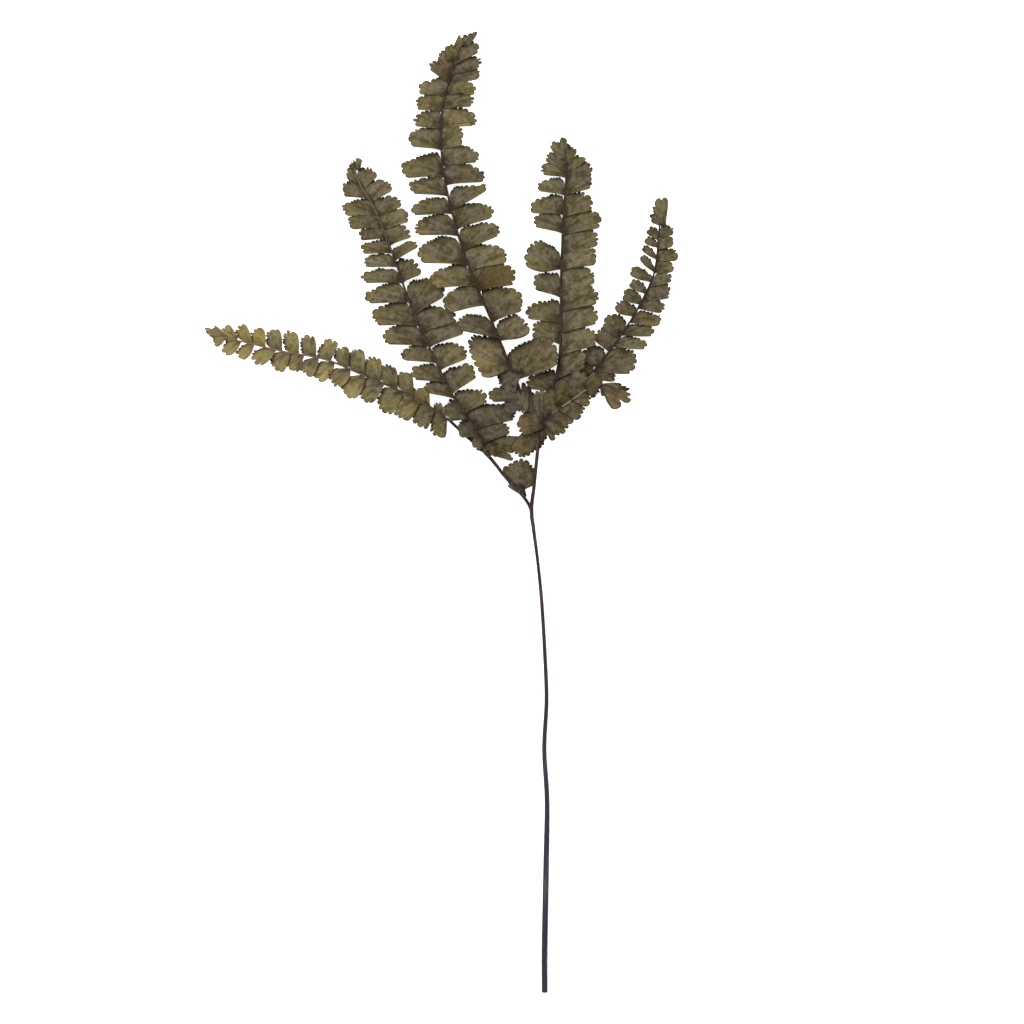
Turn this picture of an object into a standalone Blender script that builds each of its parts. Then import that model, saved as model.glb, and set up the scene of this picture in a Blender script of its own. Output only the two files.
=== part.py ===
"""A cut frond of maidenhair fern, dried and lying on a surface.

The dark stipe forks in two. From the two arms spread six pinnae, each a thin rachis with a row
of leaflets down either side, and one stalked leaflet sits in the fork. The surface is z = 0,
+Y points from the cut end to the tips, and the origin is under the middle of the frond.

Every place in the lists is in millimetres, read off the frond by eye: a route's point is
(x, y, height of its middle). A leaflet is (where it roots on its rachis, x and y of its outer
end, width), with a dictionary for one that is turned, folded or fan-shaped.
"""

import math

import bpy
import numpy as np

MM = 0.001

# A leaflet's blade: lengths in millimetres, the rest shares of its length or width.
BLADE_THICKNESS = 0.62
BLADE_CROWN = 0.045
BLADE_SQUARENESS = 3.0
BLADE_TAPER = 0.24
TAPER_FROM = 0.45
TOOTH_DEPTH = 0.12
TOOTH_PITCH = 6.8
FEWEST_TEETH = 3
MOST_TEETH = 5
BASE_EDGE_OFF = 1.15
ROOT_SUNK = 0.35
ROOT_BAND = (-0.06, -0.3)

# Degrees round a blade's outline, from its outer end over the top: its toothed run, then the
# corners at its base and along its whole lower edge.
TOOTHED_RUN = (-38.0, 146.0)
WHOLE_CORNERS = (169.0, 230.0, 284.0)

# How leaflets hang on a rachis, in degrees, and how far a blade leans with the rachis's heading.
SHINGLE_TILT = 8.0
TILT_SPREAD = 2.0
PITCH_SPREAD = 3.0
SLANT = 0.6
ALMOST_IN_LINE = 0.75

ROUTE_STEPS = 2
RACHIS_SIDES = 5
STIPE_SIDES = 8
SHARP_ANGLE = 35.0

STIPE_ROUTE = (
    (60.7, -279.7, 1.65), (60.7, -254, 1.65), (61.6, -205, 1.65), (62.1, -168, 1.65),
    (60.5, -138, 1.6), (61.8, -109, 1.6), (60.7, -80, 1.8), (58.9, -51, 2.3),
    (56.6, -28, 3.0), (54.3, -10, 3.8), (53, 1.5, 4.5), (54.5, 15, 6.4),
    (56.4, 34, 9.8), (57.2, 43, 11.4), (58.2, 50, 12.6),
)
STIPE_DIAMETERS = (3.3, 3.3, 2.8, 2.3, 2.1, 1.9, 1.9, 2.0, 1.9, 2.1, 2.4, 2.0, 2.0, 1.9, 1.8)
ARM_ROUTE = (
    (53.4, -3, 4.2), (52.2, 3, 4.6), (48.2, 9.4, 4.8), (37.6, 21, 5.0), (30.3, 30.2, 5.1),
    (22.3, 38.4, 5.0), (14.8, 44.7, 4.6), (6, 53, 4.2),
)
ARM_DIAMETERS = (1.8, 2.0, 2.0, 2.0, 2.1, 1.9, 1.8, 1.7)

DARK_STEM = (0.028, 0.020, 0.022)
OLIVE_LIGHT = (0.186, 0.152, 0.066)
OLIVE = (0.124, 0.100, 0.050)
OLIVE_DARK = (0.100, 0.083, 0.045)
OLIVE_BROWN = (0.090, 0.068, 0.036)

FAN = {"flare": 0.35}
FOLDED = {"tilt": 38.0, "pitch": 4.0}
RESTING = {"tilt": 0.0, "pitch": -12.0, "crown": 0.0}

FAR_LEFT = {
    "name": "pinna_far_left", "colour": OLIVE_LIGHT, "along": 0, "seed": 11,
    "diameters": (1.7, 0.9),
    "route": (
        (5.65, 53.33, 4.2), (-7, 62, 4.2), (-26, 72, 3.4), (-48, 81.5, 2.0), (-68, 89.5, 1.2),
        (-92, 94, 1.1), (-115, 99.5, 1.6), (-128, 102.4, 2.1),
    ),
    "leaflets": (
        (-127, -137.4, 106.6, 5.5),
        (-125.5, -127.5, 108.4, 4.5), (-119.5, -121.5, 107.5, 4.5), (-113, -117.5, 109.6, 5),
        (-105, -107, 107, 8), (-95.5, -98, 106.3, 9), (-85.5, -88, 106, 9.5),
        (-75.5, -78, 103, 9.5), (-67, -64.5, 100.8, 10), (-56.5, -58, 96.7, 6.5),
        (-47.5, -50, 95.3, 9.5), (-38.5, -40.5, 90.8, 10), (-28.5, -31, 86.3, 10),
        (-19, -21.5, 82.3, 9), (-10, -13, 73, 10), (0, -1.5, 65.8, 10),
        (-124, -131.5, 97.6, 5.5), (-119, -124.5, 90.5, 9), (-110.5, -115.5, 88.7, 9),
        (-100, -105.5, 84.8, 11), (-90, -94.5, 82, 10.5), (-82, -87, 83, 10, RESTING),
        (-73, -78, 81, 11.5, RESTING), (-64, -69, 77.5, 12, RESTING), (-53, -58.5, 75, 12),
        (-45, -52, 67.5, 13), (-36, -43.5, 65.5, 12), (-24.5, -34, 59.5, 14),
        (-15, -25, 55.3, 15), (-6.5, -14, 50.5, 12.5), (0.5, -2.3, 44.6, 11.5),
    ),
}
LEFT = {
    "name": "pinna_left", "colour": OLIVE, "along": 1, "seed": 12,
    "diameters": (1.6, 0.9),
    "route": (
        (28.2, 33.4, 7.4), (21.5, 46, 8.3), (14, 58, 8.8), (6, 70, 9.4), (-5, 93, 9.8),
        (-16, 117, 9.4), (-26.5, 147, 7.8), (-37.5, 175, 5.6), (-47, 191.5, 4.3),
        (-50, 200.5, 3.9),
    ),
    "leaflets": (
        (200, -48.3, 206.2, 6),
        (196, -55, 197.8, 8), (189, -57.5, 189.6, 9.5), (179, -57, 177, 9.5),
        (172, -53.5, 170, 10), (164.5, -47.5, 163, 8), (156, -46, 154.5, 7.5),
        (148, -45, 146.5, 7.5), (139, -46.5, 137.5, 8), (129, -43.5, 126.8, 10.5),
        (117, -39.2, 115.5, 13), (104.5, -33, 103.5, 12.5), (92, -23.3, 92, 9),
        (80.5, -17.3, 80.5, 10.5), (69.5, -9.3, 71.5, 8.5), (56, 4.5, 53.5, 8),
        (46, 16.5, 42.5, 7), (42, 24.5, 33.5, 5),
        (191.5, -40, 202, 8), (185, -30, 191.5, 9.5), (177.5, -24, 181, 10),
        (170, -19.3, 173, 10), (161, -18, 163.5, 9.5), (150, -14, 155.5, 9, FOLDED),
        (141, -12.5, 143, 9.5), (126, 1.3, 128.5, 18), (112, 8.5, 114.5, 11.5),
        (104, 12.3, 108, 11), (93.5, 15, 94.5, 11.5), (77.5, 19.3, 81.5, 13),
        (63.5, 26.5, 68, 12.5), (56, 35, 57, 10), (47, 39.5, 54.5, 13), (39.5, 41, 45, 8),
        (37, 42.5, 31.5, 4.5),
    ),
}
CENTRE = {
    "name": "pinna_centre", "colour": OLIVE, "along": 1, "seed": 13,
    "diameters": (1.6, 0.9),
    "route": (
        (54.9, 42.5, 11.4), (50.5, 56, 12.8), (46, 72, 14.4), (38.5, 90, 15.5),
        (30, 111, 16.0), (21, 132, 15.6), (13, 153, 14.2), (5.5, 180, 11.2),
        (1, 205, 7.3), (0.8, 232, 3.7), (4.5, 250, 1.7), (10, 268, 1.5), (15, 275, 1.8),
    ),
    "leaflets": (
        (274.5, 20, 280.6, 5),
        (270, 8.5, 277, 5), (266, 4, 272, 6.5), (261, -2, 266, 7), (254.5, -6, 259, 8),
        (247.5, -12.5, 248.7, 8.5), (239, -14.6, 239.5, 9.5), (229, -15.3, 229, 11),
        (218, -18.6, 218, 12), (203, -22.5, 200.5, 13), (191, -17.5, 190.5, 11),
        (179.5, -17, 176, 9), (168, -15, 166.3, 12.5), (153, -13.2, 152, 15),
        (139, -6, 136.5, 12), (125, 3, 121, 15), (108, 9.8, 110.5, 11),
        (90, 18, 91.5, 21, FAN), (74, 34, 77, 10), (70, 28.5, 68, 7.5), (68, 37, 60.5, 12),
        (270.5, 22, 274, 9, {"tilt": 20.0}), (263.5, 23, 263.8, 8.5), (256, 23, 257, 8.5, RESTING),
        (248.5, 20, 247.5, 8.5, RESTING), (240, 19.5, 239.8, 7.5), (230.5, 20.5, 230, 10.5),
        (219, 13.5, 219.5, 13), (208, 22.5, 207.5, 9.5), (197.5, 26, 197.3, 10.5),
        (187, 27, 189.5, 9), (175, 30, 176.3, 11), (162.5, 34.5, 164.5, 11.5),
        (149, 38, 151, 12.5), (137.5, 43, 138, 11), (122, 47, 124.5, 16),
        (103, 51.5, 108.5, 19, {"flare": 0.1}), (83, 66.5, 95.5, 18, FAN), (71, 47, 58.5, 9),
        (66, 57, 62, 13, {"tilt": 2.0, "pitch": -3.0}),
    ),
}
RIGHT = {
    "name": "pinna_right", "colour": OLIVE_DARK, "along": 1, "seed": 14,
    "diameters": (1.6, 0.9),
    "route": (
        (57.9, 46.5, 9.7), (61, 57, 9.9), (65.5, 72, 10.1), (69, 88, 10.3),
        (70.2, 108, 10.2), (70.2, 136, 9.2), (71.5, 170, 7.0), (73.2, 196, 5.0),
        (72.6, 211, 4.2),
    ),
    "leaflets": (
        (210.5, 71.8, 218.8, 6),
        (208.5, 64.5, 215, 6), (204.5, 61.8, 209, 6), (200, 58.4, 199.5, 9),
        (190.5, 56.7, 191, 8.5), (180, 52.6, 179.5, 10), (169.5, 54.2, 171, 10.5),
        (151, 49.3, 148.8, 17), (133, 54.2, 135, 12), (117.5, 50.4, 118, 12),
        (106, 53.4, 107, 10.5), (77, 50.8, 77.5, 9),
        (209.5, 79, 213, 7), (204.5, 84, 206.8, 6.5), (200, 89, 201, 9),
        (193, 88.3, 193, 8.5), (181, 88, 181.5, 11), (171, 93, 171.8, 10),
        (160, 92, 160.5, 10.5), (150, 90.8, 150.5, 10.5), (137, 90, 137.5, 13),
        (127, 91.7, 127, 11), (115.5, 91.4, 115.8, 12), (102, 90.8, 103.5, 12.5),
        (88, 85, 91, 13), (75.5, 78, 78, 12),
    ),
}
FAR_RIGHT = {
    "name": "pinna_far_right", "colour": OLIVE_DARK, "along": 1, "seed": 15,
    "diameters": (1.6, 0.9),
    "route": (
        (59.3, 42.5, 11.0), (66, 53, 9.2), (78, 68, 7.2), (89, 82, 6.0), (97.9, 93.2, 5.2),
        (106.5, 105, 4.3), (115.9, 120.5, 2.9), (124.5, 139.4, 1.6), (127.1, 160, 1.4),
        (127.7, 168, 1.7),
    ),
    "leaflets": (
        (167.5, 128.3, 183, 9.5),
        (161, 120.7, 165.3, 6), (154, 119.8, 159.5, 5), (147, 118, 154, 5.5),
        (139.5, 117.2, 148.5, 6), (134, 111.2, 140.5, 8), (127, 111.4, 133.8, 7),
        (121, 107, 127, 9), (114, 103, 120.5, 9.5), (105, 96.3, 113.2, 12),
        (97, 91.5, 106.5, 11), (88, 84, 95, 12), (80, 80.5, 87, 11),
        (162.5, 135.6, 165.5, 6), (156.5, 136, 158, 8), (149.5, 138.2, 150.5, 8, RESTING),
        (143, 135.6, 144, 9, RESTING), (134.5, 134.9, 137.5, 7.5), (127, 134.3, 130, 10),
        (121.5, 131, 119, 9), (113.5, 128.3, 111.8, 9), (106, 124.3, 106, 8.5),
        (99, 120.3, 98, 8), (88, 113.8, 88, 15), (80.5, 102, 78.5, 6),
    ),
}
LOW_RIGHT = {
    "name": "pinna_low_right", "colour": OLIVE_BROWN, "along": 0, "seed": 16,
    "diameters": (1.7, 1.0),
    "route": (
        (58.26, 50.34, 12.66), (58.9, 52, 13.2), (62, 55, 15.2), (68.5, 59.8, 16.9), (76, 65, 17.8),
        (83.5, 70.5, 17.8), (91, 74, 16.8), (96, 75, 16.0),
    ),
    "leaflets": (
        (95.5, 105.3, 60.3, 13, FAN), (94.5, 96.2, 67.3, 5),
        (84.5, 93, 77.5, 9), (79, 83, 82, 9), (72.5, 75, 77, 9), (66, 66.5, 72, 9),
        (61.5, 58.5, 69, 9), (61, 44.5, 50.5, 11, {"tilt": 1.0, "pitch": 4.0}),
        (79, 87.3, 65, 6.5), (73, 83, 58.5, 8.5), (67.5, 77.8, 53, 8.5), (63, 72.8, 47.5, 10),
        (60.2, 66.4, 42.6, 4.5), (60.6, 43.5, 38, 12, {"flare": 0.2, "tilt": 3.0, "pitch": 4.0}),
    ),
}
BASAL = {
    "name": "basal_leaflet", "colour": OLIVE, "along": 1, "seed": 17,
    "diameters": (1.1, 0.9),
    "route": ((49.4, 10.7, 3.0), (49, 12.5, 2.9), (48.7, 14.5, 2.8)),
    "leaflets": (
        (13.5, 44.8, 29.8, 16, {"flare": 0.4, "tilt": 0.0, "pitch": 1.0}),
        (13, 37.6, 17.3, 8.5, {"tilt": 0.0, "pitch": -6.0}),
    ),
}
PINNAE = (FAR_LEFT, LEFT, CENTRE, RIGHT, FAR_RIGHT, LOW_RIGHT, BASAL)


def clear_scene():
    for item in list(bpy.data.objects):
        bpy.data.objects.remove(item)


def material(name, colour, roughness):
    made = bpy.data.materials.new(name)
    made.use_nodes = True
    shader = made.node_tree.nodes["Principled BSDF"]
    shader.inputs["Base Color"].default_value = (*colour, 1.0)
    shader.inputs["Roughness"].default_value = roughness
    shader.inputs["Metallic"].default_value = 0.0
    return made


def smooth_route(points, steps):
    """A Catmull-Rom curve through the points, with `steps` stretches between each two."""
    points = np.array(points, float)
    before = np.vstack([2 * points[0] - points[1], points, 2 * points[-1] - points[-2]])
    share = np.linspace(0, 1, steps, endpoint=False)[:, None]
    spans = []
    for a, b, c, d in zip(before, before[1:], before[2:], before[3:]):
        cubic = (-a + 3 * b - 3 * c + d) * share**3 + (2 * a - 5 * b + 4 * c - d) * share**2
        spans.append(0.5 * (cubic + (c - a) * share + 2 * b))
    return np.vstack([*spans, points[-1:]])


def tangents_of(route):
    ahead = np.gradient(route, axis=0)
    return ahead / np.linalg.norm(ahead, axis=1)[:, None]


def new_object(name, points, faces):
    mesh = bpy.data.meshes.new(name)
    mesh.from_pydata((points * MM).tolist(), [], faces)
    mesh.validate()
    made = bpy.data.objects.new(name, mesh)
    bpy.context.scene.collection.objects.link(made)
    return made


def tube(name, route, diameters, sides):
    """A round bar along the route. Its cross-section has a flat side down, which its radius reaches."""
    ahead = tangents_of(route)
    across = np.cross(ahead, (0, 0, 1))
    across /= np.linalg.norm(across, axis=1)[:, None]
    up = np.cross(across, ahead)
    corner = 0.5 * diameters / math.cos(math.pi / sides)
    turn = 2 * math.pi * (np.arange(sides) + 0.5) / sides - math.pi / 2
    rings = route[:, None] + corner[:, None, None] * (
        across[:, None] * np.cos(turn)[:, None] + up[:, None] * np.sin(turn)[:, None]
    )
    last = len(route) - 1
    faces = [list(range(sides))[::-1], [last * sides + k for k in range(sides)]]
    for ring in range(last):
        for side in range(sides):
            here = ring * sides + side
            beside = ring * sides + (side + 1) % sides
            faces.append([here, beside, beside + sides, here + sides])
    made = new_object(name, rings.reshape(-1, 3), faces)
    make_outward(made)
    return made


def make_outward(item):
    """Turns every face of a closed mesh outwards if the mesh encloses a negative volume."""
    mesh = item.data
    mesh.calc_loop_triangles()
    corners = np.array([[mesh.vertices[v].co for v in t.vertices] for t in mesh.loop_triangles])
    if np.linalg.det(corners).sum() < 0:
        mesh.flip_normals()


def blade_outline(length, width, flare):
    """Points round a leaflet, from its lower outer corner over the toothed end and top to its root.

    The shape is a superellipse, squarer than an oval, that narrows outwards by the taper or
    widens by a flare. Teeth run from the lower outer corner to the upper corner at the base.
    The lower edge is whole. Along the base edge the blade stands off the rachis, apart from
    its root near the lower corner, which is sunk into it.
    """
    teeth = max(FEWEST_TEETH, min(MOST_TEETH, round((length + width) / TOOTH_PITCH)))
    toothed = np.linspace(*TOOTHED_RUN, 2 * teeth + 1)
    depth = np.where(np.arange(2 * teeth + 1) % 2, 1 - TOOTH_DEPTH, 1.0)
    angle = np.radians(np.concatenate([toothed, WHOLE_CORNERS]))
    reach = np.concatenate([depth, np.ones(len(WHOLE_CORNERS))])
    power = 2 / BLADE_SQUARENESS
    share = 0.5 + 0.5 * reach * np.sign(np.cos(angle)) * np.abs(np.cos(angle)) ** power
    half = 0.5 * reach * np.sign(np.sin(angle)) * np.abs(np.sin(angle)) ** power
    half *= 1 + (flare - BLADE_TAPER) * (share - TAPER_FROM)
    u = BASE_EDGE_OFF + share * (length - BASE_EDGE_OFF)
    rim = np.column_stack([u, half * width])
    root_zone = np.array([[-ROOT_SUNK, at * width] for at in ROOT_BAND])
    before_root = 2 * teeth + 2
    return np.vstack([rim[:before_root], root_zone, rim[before_root:]])


def blade(root, ahead, tip, width, tilt, pitch, flare=0.0, crown=BLADE_CROWN):
    """One leaflet: a thin crowned plate from its root on the rachis to its outer end.

    Its width lies along the rachis. `tilt` lowers the edge nearer the pinna's tip, so that
    neighbours overlap like shingles, and `pitch` lifts the outer end. What would go below the
    surface lies flat on it.
    """
    along = np.array([tip[0] - root[0], tip[1] - root[1], 0.0])
    length = np.linalg.norm(along)
    along /= length
    level = np.array([ahead[0], ahead[1], 0.0]) / math.hypot(ahead[0], ahead[1])
    square = level - (level @ along) * along
    square /= np.linalg.norm(square)
    slant = 0.0 if abs(level @ along) > ALMOST_IN_LINE else SLANT * (level @ along)
    beside = square + slant * along
    up = np.array([0.0, 0.0, 1.0])
    rise, lean = math.radians(pitch), math.radians(tilt)
    along = along * math.cos(rise) + up * math.sin(rise)
    beside = beside * math.cos(lean) - up * math.sin(lean)
    normal = np.cross(along, beside)
    facing_up = normal[2] > 0
    normal *= (1 if facing_up else -1) / np.linalg.norm(normal)

    outline = blade_outline(length / math.cos(rise), width, flare)
    count = len(outline)
    rim = root + outline[:, :1] * along + outline[:, 1:] * beside
    middle = root + 0.5 * length * along + crown * width * normal
    under = np.vstack([rim, middle]) - 0.5 * BLADE_THICKNESS * normal
    under[:, 2] = np.maximum(under[:, 2], 0)
    over = under + BLADE_THICKNESS * normal
    faces = []
    for here in range(count):
        after = (here + 1) % count
        faces.append([count, here, after])
        faces.append([2 * count + 1, count + 1 + after, count + 1 + here])
        faces.append([here, count + 1 + here, count + 1 + after, after])
    if not facing_up:
        faces = [face[::-1] for face in faces]
    return new_object("leaflet", np.vstack([over, under]), faces)


def fuse(trunk, pieces):
    """Unites the pieces with the trunk in one Boolean, applies it and removes the pieces."""
    group = bpy.data.collections.new(trunk.name + "_pieces")
    for piece in pieces:
        group.objects.link(piece)
    union = trunk.modifiers.new("union", "BOOLEAN")
    union.operation = "UNION"
    union.operand_type = "COLLECTION"
    union.collection = group
    union.solver = "EXACT"
    graph = bpy.context.evaluated_depsgraph_get()
    united = bpy.data.meshes.new_from_object(trunk.evaluated_get(graph))
    trunk.modifiers.clear()
    trunk.data = united
    united.name = trunk.name
    for piece in pieces:
        bpy.data.objects.remove(piece)
    bpy.data.collections.remove(group)


def finish(item, made):
    item.data.materials.clear()
    item.data.materials.append(made)
    item.data.shade_smooth()
    item.data.set_sharp_from_angle(angle=math.radians(SHARP_ANGLE))


def spread_along(route, values):
    """Values given at even shares of the route's length, read at each of its points."""
    run = np.concatenate([[0], np.cumsum(np.linalg.norm(np.diff(route, axis=0), axis=1))])
    return np.interp(run / run[-1], np.linspace(0, 1, len(values)), values)


def make_stipe():
    """The dark stem as far as its right arm's end, and the left arm fused to it at the fork."""
    bars = []
    for name, points, widths in (
        ("stipe", STIPE_ROUTE, STIPE_DIAMETERS), ("left_arm", ARM_ROUTE, ARM_DIAMETERS),
    ):
        route = smooth_route(points, ROUTE_STEPS)
        knots = np.arange(len(points)) * ROUTE_STEPS
        diameters = np.interp(np.arange(len(route)), knots, widths)
        bars.append(tube(name, route, diameters, STIPE_SIDES))
    stipe, left_arm = bars
    fuse(stipe, [left_arm])
    finish(stipe, material("dark_stem", DARK_STEM, 0.45))


def make_pinna(plan):
    """A rachis with its leaflets. The tilt and pitch of each leaflet vary by a seeded draw."""
    route = smooth_route(plan["route"], ROUTE_STEPS)
    ahead = tangents_of(route)
    rachis = tube(plan["name"], route, spread_along(route, plan["diameters"]), RACHIS_SIDES)
    order = np.argsort(route[:, plan["along"]])
    draw = np.random.default_rng(plan["seed"]).uniform(-1, 1, (len(plan["leaflets"]), 2))
    blades = []
    for (at, x, y, width, *special), (more_tilt, more_pitch) in zip(plan["leaflets"], draw):
        place = route[order, plan["along"]]
        root = np.array([np.interp(at, place, route[order, k]) for k in range(3)])
        heading = np.array([np.interp(at, place, ahead[order, k]) for k in range(3)])
        shape = {
            "tilt": SHINGLE_TILT + TILT_SPREAD * more_tilt,
            "pitch": PITCH_SPREAD * more_pitch,
        }
        if special:
            shape.update(special[0])
        blades.append(blade(root, heading, (x, y), width, **shape))
    fuse(rachis, blades)
    finish(rachis, material(plan["name"] + "_leaf", plan["colour"], 0.6))


clear_scene()
make_stipe()
for plan in PINNAE:
    make_pinna(plan)
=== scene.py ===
import math

import bpy
import numpy as np
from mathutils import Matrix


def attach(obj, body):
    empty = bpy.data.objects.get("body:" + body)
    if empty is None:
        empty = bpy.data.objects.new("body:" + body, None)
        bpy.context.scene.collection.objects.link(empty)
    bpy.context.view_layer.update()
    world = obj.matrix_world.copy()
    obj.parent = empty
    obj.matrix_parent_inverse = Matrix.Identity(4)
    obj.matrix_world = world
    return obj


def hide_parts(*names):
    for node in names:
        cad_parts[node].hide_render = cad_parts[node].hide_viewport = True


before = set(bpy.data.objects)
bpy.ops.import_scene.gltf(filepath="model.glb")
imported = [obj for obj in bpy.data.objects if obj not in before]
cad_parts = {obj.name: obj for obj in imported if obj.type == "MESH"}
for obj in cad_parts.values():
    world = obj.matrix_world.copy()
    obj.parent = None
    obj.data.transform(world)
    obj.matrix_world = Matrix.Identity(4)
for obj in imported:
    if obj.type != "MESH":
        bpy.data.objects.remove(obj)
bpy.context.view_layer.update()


# The view. The frond lies on a pale floor, and the camera looks straight down on it through a
# long lens. The light is a white sky all round, with one large soft lamp beyond the leaf tips.
# Sizes and places in this file are in millimetres, and MM makes them metres.

MM = 0.001
VIEW_MIDDLE = (41.7, 0.3)
VIEW_WIDTH = 597.3
VIEW_HEIGHT = 4000.0
VIEW_REACH = 100000.0
SENSOR_WIDTH = 36.0
FLOOR_HALF = 20000.0
FLOOR_COLOUR = (0.93, 0.93, 0.93)
FLOOR_GLOW = 0.75
FLOOR_ROUGHNESS = 0.9
SKY_COLOUR = (1.0, 1.0, 1.0)
SKY_STRENGTH = 0.8
LAMP_PLACE = (-700, 900, 1500)
LAMP_SIZE = 1300.0
LAMP_POWER = 36.0


def make_view():
    """Camera, sky, lamp and floor. The lens sees VIEW_WIDTH at the height of the surface."""
    camera = bpy.data.objects.new("camera", bpy.data.cameras.new("camera"))
    camera.location = (VIEW_MIDDLE[0] * MM, VIEW_MIDDLE[1] * MM, VIEW_HEIGHT * MM)
    camera.data.sensor_width = SENSOR_WIDTH
    camera.data.lens = SENSOR_WIDTH * VIEW_HEIGHT / VIEW_WIDTH
    camera.data.clip_end = VIEW_REACH * MM
    bpy.context.scene.collection.objects.link(camera)
    bpy.context.scene.camera = camera
    bpy.context.scene.view_settings.view_transform = "Standard"

    sky = bpy.data.worlds.new("sky")
    sky.use_nodes = True
    background = sky.node_tree.nodes["Background"]
    background.inputs["Color"].default_value = (*SKY_COLOUR, 1.0)
    background.inputs["Strength"].default_value = SKY_STRENGTH
    bpy.context.scene.world = sky

    lamp = bpy.data.objects.new("lamp", bpy.data.lights.new("lamp", "AREA"))
    lamp.data.size = LAMP_SIZE * MM
    lamp.data.energy = LAMP_POWER
    lamp.location = np.array(LAMP_PLACE) * MM
    aim = camera.location.copy()
    aim.z = 0.0
    lamp.rotation_euler = (aim - lamp.location).to_track_quat("-Z", "Y").to_euler()
    lamp.visible_camera = False
    bpy.context.scene.collection.objects.link(lamp)

    corner = FLOOR_HALF * MM
    mesh = bpy.data.meshes.new("floor")
    mesh.from_pydata(
        [(-corner, -corner, 0), (corner, -corner, 0), (corner, corner, 0), (-corner, corner, 0)],
        [], [(0, 1, 2, 3)],
    )
    floor = bpy.data.objects.new("floor", mesh)
    bpy.context.scene.collection.objects.link(floor)
    paint = bpy.data.materials.new("pale_floor")
    paint.use_nodes = True
    shader = paint.node_tree.nodes["Principled BSDF"]
    shader.inputs["Base Color"].default_value = (*FLOOR_COLOUR, 1.0)
    shader.inputs["Emission Color"].default_value = (1.0, 1.0, 1.0, 1.0)
    shader.inputs["Emission Strength"].default_value = FLOOR_GLOW
    shader.inputs["Roughness"].default_value = FLOOR_ROUGHNESS
    shader.inputs["Specular IOR Level"].default_value = 0.0
    mesh.materials.append(paint)


make_view()


# The stalk. A fern's stipe is one hard, wiry, polished stem, blue-black near its cut end and
# dark maroon towards the leaves. It forks once, and the two arms carry the six pinnae. It is
# two tubes swept along smooth routes, the left arm growing out of the stem at the fork.

STIPE_ROUTE = (
    (60.7, -279.7, 1.82), (60.7, -254, 1.88), (61.6, -205, 1.8), (62.1, -168, 1.8),
    (60.5, -138, 1.75), (61.8, -109, 1.7), (60.7, -80, 1.8), (58.9, -51, 2.3),
    (56.6, -28, 3.0), (54.3, -10, 3.8), (53, 1.5, 4.5), (54.5, 15, 6.4),
    (56.4, 34, 9.8), (57.2, 43, 11.4), (58.2, 50, 12.6),
)
STIPE_DIAMETERS = (3.5, 3.6, 3.4, 2.9, 2.6, 2.4, 2.2, 2.1, 1.9, 2.2, 2.5, 2.1, 2.1, 2.0, 1.8)
ARM_ROUTE = (
    (53.4, -3, 4.2), (52.2, 3, 4.6), (48.2, 9.4, 4.8), (37.6, 21, 5.0), (30.3, 30.2, 5.1),
    (22.3, 38.4, 5.0), (14.8, 44.7, 4.6), (6, 53, 4.2),
)
ARM_DIAMETERS = (1.8, 2.0, 2.0, 2.0, 2.1, 1.9, 1.8, 1.7)
STIPE_SIDES = 20
STIPE_STEPS = 12
STIPE_RIPPLE = 0.03
RIDGES = 3
RIDGE_TWIST = 0.05
SWELL_BEAT = 0.9
END_CAP = ((0.16, 0.0), (0.15, 0.6), (0.1, 0.9))
SHARP_ANGLE = 50.0
BLUE_BLACK = (0.026, 0.025, 0.037)
MAROON = (0.030, 0.017, 0.018)
STEM_STREAK = (0.105, 0.092, 0.100)
BLUE_UP_TO = -170.0
MAROON_FROM = -30.0
STREAK_NOISE = 60.0
STREAK_STRETCH = (14.0, 0.5, 14.0)
DUST_NOISE = 900.0
STEM_GLOSS = 0.08
STEM_BUMP = 0.06


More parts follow.
